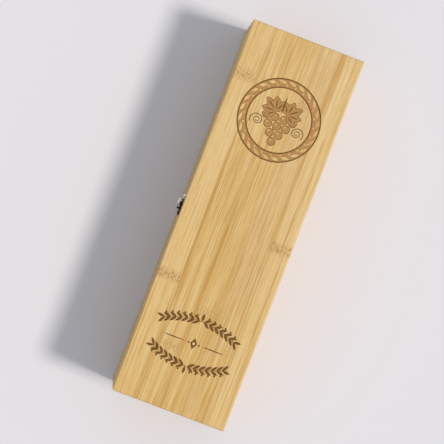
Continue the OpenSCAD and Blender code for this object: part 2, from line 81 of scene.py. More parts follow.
# %% A wire between nodes
class Wire:
    """One value, colour or vector on its way through the nodes of a material.

    A wire with no socket belongs to a tree and is only there to place that tree's first nodes.
    """

    def __init__(self, tree, socket=None):
        self.tree = tree
        self.socket = socket

    def node(self, kind, settings=None, sockets=None, out=0):
        """Adds a node: its settings first, then the values or wires of its sockets."""
        made = self.tree.nodes.new(kind)
        for name, value in (settings or {}).items():
            setattr(made, name, value)
        for name, value in (sockets or {}).items():
            if isinstance(value, Wire):
                self.tree.links.new(value.socket, made.inputs[name])
            else:
                made.inputs[name].default_value = value
        return Wire(self.tree, made.outputs[out] if made.outputs else None)

    def output(self, name):
        """Another output of the node that this wire comes from."""
        return Wire(self.tree, self.socket.node.outputs[name])

    def math(self, operation, *values):
        return self.node("ShaderNodeMath", {"operation": operation}, dict(enumerate(values)))

    def __add__(self, other):
        return self.math("ADD", self, other)

    __radd__ = __add__

    def __sub__(self, other):
        return self.math("SUBTRACT", self, other)

    def __rsub__(self, other):
        return self.math("SUBTRACT", other, self)

    def __mul__(self, other):
        return self.math("MULTIPLY", self, other)

    __rmul__ = __mul__

    def __truediv__(self, other):
        return self.math("DIVIDE", self, other)

    def __abs__(self):
        return self.math("ABSOLUTE", self)

    def __gt__(self, other):
        return self.math("GREATER_THAN", self, other)

    def __lt__(self, other):
        return self.math("LESS_THAN", self, other)

    def __mod__(self, other):
        return self.math("FLOORED_MODULO", self, other)

    def most(self, other):
        """The larger of two values."""
        return self.math("MAXIMUM", self, other)

    def ease(self, low, high):
        """0 up to low, 1 from high on, and a smooth step between them."""
        ends = {"Value": self, "From Min": low, "From Max": high}
        return self.node("ShaderNodeMapRange", {"interpolation_type": "SMOOTHSTEP"}, ends)

    def near(self, centre, reach):
        """1 at centre, and less and less until it is 0 at a distance of reach."""
        return 1 - abs(self - centre).ease(0.0, reach)


def blend(factor, under, over, how="MIX"):
    """The colour under, with the colour over laid on it as strongly as factor says."""
    wire = next(w for w in (factor, under, over) if isinstance(w, Wire))
    settings = {"data_type": "RGBA", "blend_type": how, "clamp_result": True}
    return wire.node("ShaderNodeMix", settings, {0: factor, 6: under, 7: over}, out=2)


def srgb(code):
    """A colour written as #RRGGBB, as the linear light that Blender counts in."""
    levels = [int(code[i:i + 2], 16) / 255 for i in (1, 3, 5)]
    light = [v / 12.92 if v <= 0.04045 else ((v + 0.055) / 1.055) ** 2.4 for v in levels]
    return (*light, 1.0)


def start(name):
    """A new material with an empty tree: the material and its first wire."""
    material = bpy.data.materials.new(name)
    material.use_nodes = True
    material.node_tree.nodes.clear()
    return material, Wire(material.node_tree)


def surface(wire, colour, rough, height=None, depth=0.0, fixed=None, metal=0.0):
    """Ends a material in one Principled shader, with height as a bump that deep in metres."""
    sockets = {"Base Color": colour, "Roughness": rough, "Metallic": metal, **(fixed or {})}
    if height is not None:
        bump = {"Height": height, "Distance": depth, "Strength": 1.0}
        sockets["Normal"] = wire.node("ShaderNodeBump", None, bump)
    shader = wire.node("ShaderNodeBsdfPrincipled", None, sockets)
    wire.node("ShaderNodeOutputMaterial", None, {"Surface": shader})


def dress(name, material):
    """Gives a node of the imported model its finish, in the slot that it already has."""
    nodes[name].material_slots[0].material = material


print("white is", srgb("#FFFFFF")[:3])

# %% [markdown]
# ## The lamp
# One broad lamp stands far off on the hinge side, 56 degrees up. It throws the long soft shadow
# that falls in front of the box, and the sky fills that shadow. Lamp and sky share the light:
# fill is the sky's part, and together they give a level surface a light of 1, so a colour looks
# as it is written. The sky is a little cool and the lamp a little warm, which keeps the shadow
# grey beside the golden wood.

# %% Lamp
fill = 0.485
cool = np.array([0.965, 1.045, 1.13])
warm = (1 - fill * cool) / (1 - fill)
lamp_height = math.radians(56.0)
lamp = bpy.data.objects.new("lamp", bpy.data.lights.new("lamp", "SUN"))
lamp.data.energy = (1 - fill) * math.pi / math.sin(lamp_height)
lamp.data.color = warm
lamp.data.angle = math.radians(10.0)
lamp.rotation_euler = (lamp_height - math.pi / 2, 0.0, 0.0)
bpy.context.scene.collection.objects.link(lamp)
print("lamp", round(lamp.data.energy, 3), "sky", fill)

# %% [markdown]
# ## The sky
# The sky is brighter overhead than at the horizon, as a room with a white ceiling is. A
# direction that points up by a height from 0 to 1 has a brightness of 0.4 plus 0.9 times that
# height. On a level surface that has a mean of 1, because such a surface weighs each direction
# by its height, and the mean height is then two thirds. A ray that comes straight from the
# camera, or off metal, meets a pale backdrop instead of the dimmer sky.

# %% Sky
at_horizon = 0.4
towards_top = 0.9
world = bpy.data.worlds.new("studio")
world.use_nodes = True
world.node_tree.nodes.clear()
sky = Wire(world.node_tree)
ray = sky.node("ShaderNodeLightPath", out="Is Camera Ray")
straight = ray.most(ray.output("Is Glossy Ray")).most(ray.output("Is Transmission Ray"))
direction = sky.node("ShaderNodeTexCoord", out="Generated")
above = sky.node("ShaderNodeSeparateXYZ", None, {0: direction}, out="Z").most(0.0)
soft = (above * towards_top + at_horizon) * fill
backdrop = srgb("#E3E1E6")
dim = sky.node("ShaderNodeBackground", None, {"Color": (*cool, 1.0), "Strength": soft})
pale = sky.node("ShaderNodeBackground", None, {"Color": backdrop, "Strength": 1.0})
both = sky.node("ShaderNodeMixShader", None, {0: straight, 1: dim, 2: pale})
sky.node("ShaderNodeOutputWorld", None, {"Surface": both})
bpy.context.scene.world = world
print("sky of", at_horizon, "at the horizon and", at_horizon + towards_top, "overhead")

# %% Floor
reach = 9.0
corners = [(-reach, -reach, 0), (reach, -reach, 0), (reach, reach, 0), (-reach, reach, 0)]
floor = bpy.data.objects.new("floor", bpy.data.meshes.new("floor"))
floor.data.from_pydata(corners, [], [(0, 1, 2, 3)])
bpy.context.scene.collection.objects.link(floor)
material, wire = start("floor_plaster")
surface(wire, srgb("#E4E2E7"), 0.9, fixed={"Specular IOR Level": 0.1})
floor.data.materials.append(material)
print("floor of", 2 * reach, "m")

# %% [markdown]
# ## What bamboo board looks like
# A bamboo cane is a hollow tube, too thin to saw boards from. It is split into laths about
# 21 mm wide, planed square, and glued side by side. So a board shows straight laths with an
# amber seam between them, fine threads that run the whole length, and here and there a
# knuckle, where the cane had a joint: a short crackled patch, as wide as one lath. Across the
# cut ends the same threads show as dark dots.
#
# The pattern is worked out in the board's own three directions, in millimetres: along the
# grain, across the laths, and through the thickness. It is solid, so it goes round edges
# without a break, and no picture is needed.

# %% Threads of the cane
def threads(along, across, through, long, wide, detail=2.0):
    """Noise drawn out along the grain: one thread is about long by wide millimetres."""
    stretched = {0: along * (1 / long), 1: across * (1 / wide), 2: through * (1 / wide)}
    place = along.node("ShaderNodeCombineXYZ", None, stretched)
    sockets = {"Vector": place, "Scale": 1.0, "Detail": detail, "Roughness": 0.55}
    return along.node("ShaderNodeTexNoise", None, sockets)


def split(wire, output, scale):
    """The three parts of an object coordinate output, each multiplied by scale."""
    place = wire.node("ShaderNodeTexCoord", None, None, out=output)
    scaled = wire.node("ShaderNodeVectorMath", {"operation": "SCALE"}, {0: place, "Scale": scale})
    x = wire.node("ShaderNodeSeparateXYZ", None, {0: scaled}, out="X")
    return x, x.output("Y"), x.output("Z")


palette = {
    "cream": srgb("#ECD1A1"),
    "straw": srgb("#E4C283"),
    "honey": srgb("#D5AE6A"),
    "rose": srgb("#D9B68A"),
    "ripe": srgb("#FCFAEE"),
    "amber": srgb("#BA8A42"),
    "brown": srgb("#9C6A30"),
    "core": srgb("#C79E64"),
    "dots": srgb("#7A552C"),
}
box_length = (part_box("lid_top")[1][0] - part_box("lid_top")[0][0]) * 1000
print("bamboo colours:", ", ".join(palette), "on", round(box_length, 1), "mm")

# %% [markdown]
# ## Knuckles
# A knuckle spans one lath, so its patch stops sharply at the lath's two edges and fades along
# the grain. Its ends are ragged, because noise shifts the place at which it fades.

# %% Knuckle patches
def knuckle_patches(along, across, wander, knuckles):
    """Up to 1 on the knuckles and 0 elsewhere. A knuckle is (place along, first edge, last edge,
    strength), in millimetres, and fades over 8 mm along the grain."""
    patch = 0.0
    for place, first, last, strength in knuckles:
        lengthwise = (along + wander * 6.0).near(place, 8.0)
        inside = (across > first) * (across < last)
        patch = lengthwise * inside * strength + patch
    return patch


# %% [markdown]
# ## Seams
# Two laths meet in a thin line of glue, but what the eye sees there is wider: the wood beside
# it is the cane's dense amber skin. It is wider in some stretches than in others, and its edge
# follows the broad threads.

# %% Seam lines
def seam_lines(across, broad, spread, seams):
    """Up to 1 on the seams and 0 further away than spread. A seam is (place across, strength,
    change of tone across it), in millimetres."""
    seam = 0.0
    for place, strength, change in seams:
        seam = (across + (broad - 0.5) * 1.6).near(place, spread) * strength + seam
    return seam


# %% [markdown]
# ## Colour of the threads
# Five layers of threads lie over each other, from broad bands to hairs. Each is a noise that
# stays near a half, so a smooth step a little below a half picks its dark threads, and one a
# little above picks its light ones. Every lath draws by lot how sharp its threads are. Where
# they are soft, short flakes show instead.

# %% Thread colours
def thread_colours(colour, sharp, broad, thread, flake, fine):
    """The colour with dark and light threads laid over it, broad ones first."""
    soft_lath = 1.55 - sharp
    colour = blend(broad.ease(0.55, 0.75) * 0.5, colour, palette["cream"])
    colour = blend((1 - broad.ease(0.25, 0.43)) * 0.45, colour, palette["amber"])
    colour = blend((1 - thread.ease(0.33, 0.44)) * sharp * 0.85, colour, palette["amber"])
    colour = blend(thread.ease(0.55, 0.68) * sharp * 0.85, colour, palette["cream"])
    colour = blend((1 - flake.ease(0.3, 0.46)) * soft_lath * 0.5, colour, palette["amber"])
    colour = blend(flake.ease(0.55, 0.72) * soft_lath * 0.55, colour, palette["cream"])
    return blend((1 - fine.ease(0.25, 0.42)) * 0.5, colour, palette["amber"])


# %% [markdown]
# ## One formula for every board
# The finish of a board is built from the big features to the small ones. First comes the tone
# of each lath: its seams say how much it changes from lath to lath, and a slow drift changes it
# along the length. Some laths turn a little rosy. Then come the threads, the amber seams and
# the knuckles. At a knuckle the threads swerve, so their place is shifted before the noise is
# read. The whole board also ripens towards one end, where it is a shade deeper and more golden.
# The fine threads feed the bump as well: planed bamboo is smooth, but the light still catches
# it along the grain.

# %% Bamboo grain
def bamboo(along, across, through, seams, knuckles, seed):
    """Colour, roughness and height of bamboo at a place in millimetres. own is the place along
    the grain, moved far off by the lath's lot and the board's seed, so that no two laths show
    the same stretch of noise."""
    lath = sum((across > place) for place, strength, change in seams if change) + seed
    lot = lath.node("ShaderNodeTexWhiteNoise", {"noise_dimensions": "1D"}, {"W": lath})
    own = along + lot * 900.0 + 31.0 * seed
    tone = sum((across > place) * change for place, strength, change in seams if change)
    wander = threads(own, across, through, 5.0, 3.0, 1.0) - 0.5
    patch = knuckle_patches(along, across, wander, knuckles)
    swerved = across + patch * wander * 3.5

    drift = threads(own, swerved, through, 150.0, 26.0)
    broad = threads(own, swerved, through, 130.0, 2.6)
    thread = threads(own, swerved, through, 90.0, 0.85)
    flake = threads(own, swerved, through, 16.0, 0.6)
    fine = threads(own, swerved, through, 30.0, 0.3, 1.0)

    tone = (tone + 0.66 + (drift - 0.5) * 1.8 + (broad - 0.5) * 0.7).ease(0.0, 1.0)
    colour = blend(tone, palette["honey"], palette["straw"])
    colour = blend((lot * 1.7 % 1.0) * drift.ease(0.35, 0.6) * 0.7, colour, palette["rose"])
    sharp = 0.55 + 0.6 * (lot * 2.3 % 1.0)
    colour = thread_colours(colour, sharp, broad, thread, flake, fine)

    spread = 1.5 + threads(own, 3.0 * seed, through, 60.0, 30.0).ease(0.36, 0.56) * 2.3
    seam = seam_lines(swerved, broad, spread, seams)
    colour = blend(seam * (1.1 - 0.75 * thread.ease(0.38, 0.6)), colour, palette["amber"])
    colour = blend(along.ease(0.0, box_length), colour, palette["ripe"], "MULTIPLY")

    dash = threads(own, across + wander * 2.6, through, 3.2, 0.7)
    colour = blend(patch * 0.45, colour, palette["core"])
    colour = blend(patch * (1 - dash.ease(0.38, 0.5)), colour, palette["brown"])
    colour = blend(patch * dash.ease(0.55, 0.68) * 0.7, colour, palette["cream"])

    rough = 0.62 - 0.14 * thread + 0.1 * patch
    height = thread * 0.4 + fine * 0.6 - seam * 0.25 - patch * dash * 0.8
    return colour, rough, height


# %% [markdown]
# ## Cut ends
# Where a saw has cut across the cane, the threads show end on: small dark dots in a browner
# ground. A face is a cut end where its normal points along the grain, and on an eased edge the
# finish passes softly from one to the other.

# %% End grain
def cut_ends(colour, across, through, facing):
    """Lays end grain over a board's colour, where facing is the normal's part along the grain."""
    place = across.node("ShaderNodeCombineXYZ", None, {0: across * 1.25, 1: through * 1.25})
    settings = {"voronoi_dimensions": "2D", "feature": "F1"}
    cells = across.node("ShaderNodeTexVoronoi", settings, {"Vector": place, "Scale": 1.0})
    dots = 1 - cells.ease(0.18, 0.42)
    clouds = threads(across, through, through, 6.0, 3.0)
    ground = blend(clouds.ease(0.35, 0.65), palette["core"], palette["honey"])
    ends = blend(dots * 0.7, ground, palette["dots"])
    return blend(abs(facing).ease(0.55, 0.85), colour, ends)


# %% [markdown]
# ## Joint lines and painted gap shade of the corners
# The front and back boards lock into the end boards with square fingers. A hair-thin dark line
# goes round each finger, drawn from the same pitch that the fingers are cut to. Glue and saw
# marks leave it, and it is also painted shade: the shade of the hairline gap that real boards
# have, which these boards, meeting exactly, do not. Another line goes all round the box where the
# walls meet the floor panel, and one where they meet the top panel, both partly painted shade.

# %% Finger joint lines
half_length, half_width, height_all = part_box("lid_top")[1] * 1000
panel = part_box("base_floor")[1][2] * 1000
top_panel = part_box("lid_top")[0][2] * 1000
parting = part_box("base_front")[1][2] * 1000
wall = (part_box("base_front")[1][1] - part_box("base_front")[0][1]) * 1000
base_fingers = 7
lid_fingers = 2
hair = 0.35
print("walls", round(wall, 1), "mm, lid parts at", round(parting, 1), "mm")


def joint_lines(x, y, z, turned, fingers, from_z, to_z):
    """1 on the hair lines of the fingers between two heights, where turned is the normal.
    step counts the fingers from from_z towards to_z. A rung lies wherever step is whole, and
    every second finger belongs to the front and back boards."""
    pitch = (to_z - from_z) / fingers
    step = (z - from_z) / pitch
    rung = abs((step % 1.0) - 0.5).ease(0.5 - hair / abs(pitch), 0.5)
    odd = (step % 2.0) > 1.0
    within = (step > -0.02) * (step < fingers + 0.02)
    long_face = abs(turned["y"]) > 0.7
    end_face = abs(turned["x"]) > 0.7
    x_inner = half_length - wall
    y_inner = half_width - wall
    front = rung * (abs(x) > x_inner - 0.1) + abs(x).near(x_inner, hair) * odd
    end = rung * (abs(y) > y_inner - 0.1) + abs(y).near(y_inner, hair) * (1 - odd)
    return (front * long_face + end * end_face) * within


def panel_lines(z, turned):
    """1 on the hair lines all round the box, where the walls meet the floor and the top."""
    lines = z.near(panel, 0.3).most(z.near(top_panel, 0.3))
    return lines * (abs(turned["z"]) < 0.5)


# %% [markdown]
# ## The burnt ornament
# A laser has burnt the wreath and the divider into the top. Where it passed once the bamboo is
# a warm mid brown, and where it passed again, along the lines, it is dark. The recesses are real
# in the model, so the burn needs no drawing: it is wherever the surface lies below the top, and
# the depth says how dark. Soft parts of the thread burn more than hard ones, so the brown keeps
# the grain, and the laser's passes leave faint furrows.

# %% Burning
scorch = srgb("#BA8B52")
char = srgb("#643F08")


def burn(colour, rough, height, x, y, z):
    """Colour, roughness and height with the laser's work laid over them. The brown starts at a
    tenth of a millimetre below the top, and the dark lines at three tenths."""
    depth = height_all - z
    field = (abs(x) < half_length - 8.0) * (abs(y) < half_width - 6.0) * (depth < 1.0)
    toned = depth.ease(0.04, 0.14) * field
    lined = depth.ease(0.24, 0.34) * field
    passes = abs((x / 0.45 % 1.0) - 0.5) * 2.0
    uneven = (height * 0.75 + passes * 0.25).ease(0.3, 0.65)
    brown = blend(uneven * 0.25, scorch, char)
    colour = blend(toned * 0.94, colour, brown)
    dark = blend(uneven * 0.25, char, scorch)
    colour = blend(lined * 0.97, colour, dark)
    return colour, rough + toned * 0.2, height + toned * passes * 0.5


# %% [markdown]
# ## Finishing the boards
# Every board gets a finish of its own, because no two boards are cut from the same cane. The
# front and back walls were glued up as one tall board and sawn apart, so the grain runs on from
# the base into the lid, and they share a finish.
#
# A seam is written as its place across the board, its strength, and how much the tone of the
# laths changes there. The walls start with a seam that lies below their edge: it can't be seen,
# and only makes their first lath, and so the whole wall, deeper in tone than the top. That deeper
# tone is painted shade: it darkens all four walls the way the shade darkens the front wall.

# %% Seams of the boards
top_seams = [(21.8, 1.0, -0.24), (43.3, 0.9, -0.16), (64.5, 0.5, 0.14), (86.0, 0.7, 0.2),
             (33.0, 0.35, 0.0)]
floor_seams = [(22.0, 0.6, -0.3), (43.3, 0.5, 0.3), (64.5, 0.6, -0.2), (86.0, 0.5, 0.25)]
# The first entry is painted shade, not a seam: it makes each whole wall darker than the top.
wall_seams_and_shade = [(-1.0, 0.0, -0.2), (14.0, 0.6, -0.3), (35.0, 0.7, 0.2), (56.0, 0.5, -0.25),
              (77.2, 0.5, 0.3), (98.0, 0.6, -0.2)]
rest_seams = [(18.0, 0.5, -0.2), (39.0, 0.5, 0.2)]
print(len(top_seams), "seams on the top and", len(wall_seams_and_shade) - 1, "on a wall")

# %% [markdown]
# ## The table of boards
# A knuckle is written as its place along the board, the two edges of its lath, and its strength.
# Each row of the table then says which pieces share a finish, which way the board lies as the
# axes along, across and through, its seams and knuckles, and a number that no other board has,
# so that its threads are its own.

# %% Boards
top_knuckles = [(49, 0, 21, 0.8), (240, 0, 21, 1.0), (184, 86, 106, 0.9),
                (56, 65, 86, 0.6), (261, 43, 65, 0.5), (298, 21, 43, 0.55)]
floor_knuckles = [(95, 43, 65, 0.9), (210, 65, 86, 0.8)]
front_knuckles = [(76, 35, 56, 0.9), (248, 56, 77.2, 0.8), (300, 14, 35, 0.9),
                  (160, 77.2, 98, 0.7)]
back_knuckles = [(60, 14, 35, 0.9), (205, 56, 77.2, 0.9), (318, 77.2, 98, 0.8),
                 (120, 35, 56, 0.6)]
left_knuckles = [(36, 35, 56, 0.9)]
right_knuckles = [(70, 56, 77.2, 0.9)]
boards = {
    "top": (["lid_top"], "xyz", top_seams, top_knuckles, 71),
    "floor": (["base_floor"], "xyz", floor_seams, floor_knuckles, 2),
    "front": (["base_front", "lid_front"], "xzy", wall_seams_and_shade, front_knuckles, 3),
    "back": (["base_back", "lid_back"], "xzy", wall_seams_and_shade, back_knuckles, 4),
    "left_end": (["base_left_end", "lid_left_end"], "yzx", wall_seams_and_shade, left_knuckles, 5),
    "right_end": (["base_right_end", "lid_right_end"], "yzx", wall_seams_and_shade, right_knuckles, 6),
    "body_rest": (["bottle_body_rest"], "yzx", rest_seams, [], 7),
    "neck_rest": (["bottle_neck_rest"], "yzx", rest_seams, [(20, 39, 60, 0.7)], 8),
}
print(len(boards), "kinds of board")

# %% [markdown]
# ## Dressing the boards
# One loop makes the finish of each row. It reads the place on the board and the direction of
# its surface, turns them into the board's own three directions, and lays the layers over each
# other: the bamboo, its cut ends, on the top the burnt ornament, and last the joint lines, which
# are partly painted shade of the gaps between boards.

# %% Board finishes
offset = {"x": half_length, "y": half_width, "z": 0.0}
for name, (members, order, seams, knuckles, seed) in boards.items():
    material, wire = start("bamboo_" + name)
    spot = dict(zip("xyz", split(wire, "Object", 1000.0)))
    turned = dict(zip("xyz", split(wire, "Normal", 1.0)))
    x, y, z = spot["x"], spot["y"], spot["z"]
    along, across, through = [spot[axis] + offset[axis] for axis in order]
    colour, rough, height = bamboo(along, across, through, seams, knuckles, seed)
    colour = cut_ends(colour, across, through, turned[order[0]])
    if name == "top":
        colour, rough, height = burn(colour, rough, height, x, y, z)
    lines = joint_lines(x, y, z, turned, base_fingers, panel, parting)
    lines = lines + joint_lines(x, y, z, turned, lid_fingers, top_panel, parting)
    # Joint lines: marks of the joints, and painted shade of the hairline gaps between boards.
    glue_and_gap_shade = lines.most(panel_lines(z, turned)) * 0.55
    colour = blend(glue_and_gap_shade, colour, palette["dots"])
    surface(wire, colour, rough, height, 0.00005, {"Specular IOR Level": 0.25})
    for member in members:
        dress(member, material)
    print(name, "finish:", len(material.node_tree.nodes), "nodes on", ", ".join(members))

# %% [markdown]
# ## Sheets of metal
# The clasp is stamped from thin plate and bent. So each piece is modelled as a stamping is made:
# a flat grid of points, bent by a formula into the middle of the sheet, then given its thickness
# by Solidify and its soft stamped rim by Bevel. Squares of the grid are left out where a window
# or a notch is punched. The sizes come from the boxes of the solids that the pieces stand for.

# %% Grids of points
def sheet_faces(rows, columns, keep=None):
    """Squares between neighbouring points of a rows by columns grid, as rows of four indices.
    keep is True for the squares that stay."""
    index = np.arange(rows * columns).reshape(rows, columns)
    quads = np.stack([index[:-1, :-1], index[:-1, 1:], index[1:, 1:], index[1:, :-1]], -1)
    return quads[keep] if keep is not None else quads.reshape(-1, 4)


def new_piece(name, body, stands_for, points, faces, material):
    """A mesh from points in millimetres, with its loose points dropped and its faces outward,
    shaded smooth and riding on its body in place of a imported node. Points that lie on each other
    are joined, which closes a seam or a pole."""
    used, faces = np.unique(np.asarray(faces), return_inverse=True)
    points = np.asarray(points).reshape(-1, 3)[used] / 1000
    mesh = bpy.data.meshes.new(name)
    mesh.from_pydata(points.tolist(), [], faces.reshape(-1, 4).tolist())
    tidy = bmesh.new()
    tidy.from_mesh(mesh)
    bmesh.ops.remove_doubles(tidy, verts=tidy.verts, dist=1e-7)
    bmesh.ops.recalc_face_normals(tidy, faces=tidy.faces)
    tidy.to_mesh(mesh)
    tidy.free()
    mesh.shade_smooth()
    mesh.materials.append(material)
    piece = bpy.data.objects.new(name, mesh)
    bpy.context.scene.collection.objects.link(piece)
    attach(piece, body)
    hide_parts(stands_for)
    print(name, "has", len(mesh.vertices), "points and stands for", stands_for)
    return piece


def mark_rims(mesh):
    """Keeps in each point its distance in millimetres to the cut edge of the sheet. It is the
    least distance to any edge that only one square has: to the spot on it found by dropping the
    point onto its line and holding that spot between the edge's two ends."""
    squares = np.empty(len(mesh.loops), np.int32)
    mesh.loops.foreach_get("edge_index", squares)
    ends = np.empty(len(mesh.edges) * 2, np.int32)
    mesh.edges.foreach_get("vertices", ends)
    spots = np.empty(len(mesh.vertices) * 3)
    mesh.vertices.foreach_get("co", spots)
    spots = spots.reshape(-1, 1, 3) * 1000
    cut = np.bincount(squares, minlength=len(mesh.edges)) == 1
    first, last = spots[ends.reshape(-1, 2)[cut], 0].transpose(1, 0, 2)
    line = last - first
    share = np.clip(((spots - first) * line).sum(-1) / (line * line).sum(-1), 0.0, 1.0)
    away = np.linalg.norm(spots - first - share[..., None] * line, axis=-1).min(1)
    mesh.attributes.new("from_rim", "FLOAT", "POINT").data.foreach_set("value", away)


def thicken(piece, thickness, rim):
    """Gives a bent grid its thickness, evenly to both sides, and a rounded rim."""
    mark_rims(piece.data)
    solid = piece.modifiers.new("thickness", "SOLIDIFY")
    solid.thickness = thickness / 1000
    solid.offset = 0.0
    solid.use_even_offset = True
    bevel = piece.modifiers.new("rim", "BEVEL")
    bevel.width = rim / 1000
    bevel.segments = 3
    bevel.limit_method = "ANGLE"
    bevel.angle_limit = math.radians(50)


def limits(name):
    """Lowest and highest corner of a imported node, in millimetres."""
    low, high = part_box(name)
    return np.array(low) * 1000, np.array(high) * 1000


# %% [markdown]
# ## Old nickel, with painted light
# The clasp is plated dark, and handling has worn it bright where it stands proud. Two layers
# make that finish: a nearly black, half dull patina, which also stands for painted shade and
# dark reflections, and bright metal that shows through in patches. The patches come from noise.
# The bright layer is partly wear and partly painted light. It grows further out from the box,
# where proud parts wear, and so leaves painted shade where the metal lies close to the wood. It
# grows towards one end, a painted reflection that is bright there and dark at the other end. It
# also grows along the rims, where a stamped sheet rubs first, which is also a painted highlight
# on the edge. How far a point is from its rim is kept in the sheet itself, as an attribute.

# %% Aged metal
def aged_metal(name, bright, dark, worn, proud, painted_glint_lean, rims):
    """Plated metal with painted light: worn, from 0 to 1, is how much of the dark layer has gone at
    the depth proud, in millimetres in front of the box's middle. It is more further out and less
    nearer the wood: wear, and painted shade near the wood. lean is how much more it is for each
    millimetre to the left, a painted reflection, and rims how much more at a cut edge, which is
    wear and a painted edge highlight."""
    material, wire = start(name)
    x, y, z = split(wire, "Object", 1000.0)
    place = wire.node("ShaderNodeCombineXYZ", None, {0: x, 1: y, 2: z})
    cloud = wire.node("ShaderNodeTexNoise", None, {"Vector": place, "Scale": 0.28, "Detail": 2.0})
    patch = wire.node("ShaderNodeTexNoise", None, {"Vector": place, "Scale": 0.9, "Detail": 3.0})
    speck = wire.node("ShaderNodeTexNoise", None, {"Vector": place, "Scale": 4.0, "Detail": 2.0})
    # Painted light: brighter further out from the box, as wear and as painted shade close to the
    # wood, and brighter towards negative x as a painted reflection.
    outward = (-proud - y) * 0.17 - x * painted_glint_lean
    edge = wire.node("ShaderNodeAttribute", {"attribute_name": "from_rim"}, out="Fac")
    # Brighter near a cut edge: wear, and a painted highlight on the rim.
    edge = (1 - (edge + patch * 0.5).ease(0.2, 0.75)) * rims
    # Where the bright metal shows: noisy wear, plus the painted shade, painted reflection and
    # painted edge highlight.
    wear_and_painted_light = (cloud * 0.65 + patch * 0.35 + outward + edge + (worn - 0.5)).ease(0.3, 0.75)
    colour = blend(wear_and_painted_light, dark, bright)
    colour = blend((1 - patch.ease(0.3, 0.5)) * 0.4, colour, dark)
    colour = blend((1 - speck.ease(0.26, 0.4)) * 0.35, colour, dark)
    colour = blend(speck.ease(0.45, 0.8) * 0.11, colour, bright)
    rough = 0.42 - wear_and_painted_light * 0.17 + speck * 0.12
    surface(wire, colour, rough, speck * 0.5 + patch, 0.00008, metal=1.0)
    return material


nickel = srgb("#F6EFE6")
# The dark layer is patina that also stands for painted shade and dark reflections on the metal.
tarnish_and_shade = srgb("#1F1814")
# The value for each millimetre to the left paints a reflection: on the clasp the sheets are bright
# at one end and dark at the other, and on the nails one nail is bright and the other dark.
clasp_finish = aged_metal("clasp_nickel", nickel, tarnish_and_shade, 0.34, 55.3, 0.03, 0.3)
nail_finish = aged_metal("nail_nickel", nickel, tarnish_and_shade, 0.46, 54.3, 0.02, 0.0)
print("old nickel on the clasp")

# %% [markdown]
# ## Round the pin
# All the clasp's sheets are drawn about its pin: how far out from the pin's middle a point lies,
# and how far up. The sheet is 0.8 mm thick. The wood is one knuckle radius behind the pin. So
# roll is how far the middle of a rolled sheet lies from the pin, and back is how far out the
# middle of a sheet lies that is nailed flat to the wood. It is negative: that is behind the pin.

# %% Measures of the clasp
pin_low, pin_high = limits("clasp_pin")
flap_low, flap_high = limits("clasp_flap")
pin_y = (pin_low[1] + pin_high[1]) / 2
pin_z = (pin_low[2] + pin_high[2]) / 2
sheet = 0.8
rim = 0.16
corner = 1.8
knuckle = flap_high[2] - pin_z
roll = knuckle - sheet / 2
back = -knuckle + sheet / 2
print("pin at", round(pin_y, 2), round(pin_z, 2), "knuckle radius", round(knuckle, 2))


def about_pin(x, out, up):
    """Points from their place along the pin, out from it and up from it."""
    return np.stack(np.broadcast_arrays(x, pin_y - out, pin_z + up), -1)


def rounded(half, radius, inside):
    """Half the width of a plate whose corners are rounded, at a distance inside its edge: the
    full half width, less what the corner's circle takes away."""
    short = np.clip(radius - inside, 0.0, radius)
    return half - radius + np.sqrt(radius ** 2 - short ** 2)


# %% [markdown]
# ## The flap
# The flap is one strip. Its top is rolled round the pin, a long straight part hangs over the
# catch, and its end turns outward into a lip for the thumb. Seen from the end it is a line, so
# it is made as a profile carried across: first the path of that line, then for each point of
# the path how wide the strip is there. It is narrow at the top, to fit between the two knuckles
# of the lid plate, and its corners are rounded at the lip. The window goes over the catch.

# %% Path of the flap
roll_points = 28
hung = back + 1.2
window_top = -10.0
window_low = -13.0


def flap_path(hang, lip_out):
    """Points (out, up): a roll round the pin, an eased step in to the hanging part, straight
    down to hang, then a quarter circle outward to lip_out."""
    turn = np.radians(np.linspace(250.0, 0.0, roll_points))
    rolled = np.stack([roll * np.cos(turn), roll * np.sin(turn)], 1)
    part = np.linspace(0.0, 1.0, 10)[1:]
    stepped = np.stack([roll + (hung - roll) * part * part * (3 - 2 * part), -2.6 * part], 1)
    above_window = np.linspace(-2.9, window_top, 8)
    beside_window = np.linspace(window_top - 0.5, window_low, 6)
    up = np.concatenate([above_window, beside_window, [window_low - 0.9, hang]])
    straight = np.stack([np.full(len(up), hung), up], 1)
    bend = np.radians(np.linspace(180.0, 270.0, 14))[1:]
    radius = lip_out - hung
    lip = np.stack([lip_out + radius * np.cos(bend), hang + radius * np.sin(bend)], 1)
    return np.concatenate([rolled, stepped, straight, lip])


lip_out = pin_y - flap_low[1] - sheet / 2
lip_up = flap_low[2] - pin_z + sheet / 2
path = flap_path(lip_up + lip_out - hung, lip_out)
print("the flap's path has", len(path), "points and ends", round(lip_out, 2), "mm out")

# %% [markdown]
# ## Width of the flap
# Across, each row of points is the same list of shares from -1 to 1, times half the width of
# the strip there. Shares lie closer together near the edges, where the corners are rounded, and
# two of them are the sides of the window.

# %% Flap
out, up = path[:, :1], path[:, 1:]
neck_half = 2.5
window_half = 2.5
last_neck_row = roll_points + 7
wide = rounded(flap_high[0], corner, lip_out + sheet / 2 - out)
widening = np.clip((np.arange(len(path))[:, None] - last_neck_row) / 2.0, 0.0, 1.0)
half = neck_half + (wide - neck_half) * widening
frame_at = window_half / flap_high[0]
half_share = np.array([0.24, frame_at, 0.7, 0.85, 0.96, 1])
share = np.concatenate([-half_share[::-1], [0], half_share])
points = about_pin(share * half, out, up)
middle_up = (up[1:] + up[:-1]) / 2
middle_share = (share[1:] + share[:-1]) / 2
in_window = (middle_up < window_top) & (middle_up > window_low)
punched = in_window & (abs(middle_share) < frame_at)
faces = sheet_faces(len(path), len(share), ~punched)
flap = new_piece("flap_pressed", "flap", "clasp_flap", points, faces, clasp_finish)
thicken(flap, sheet, rim)

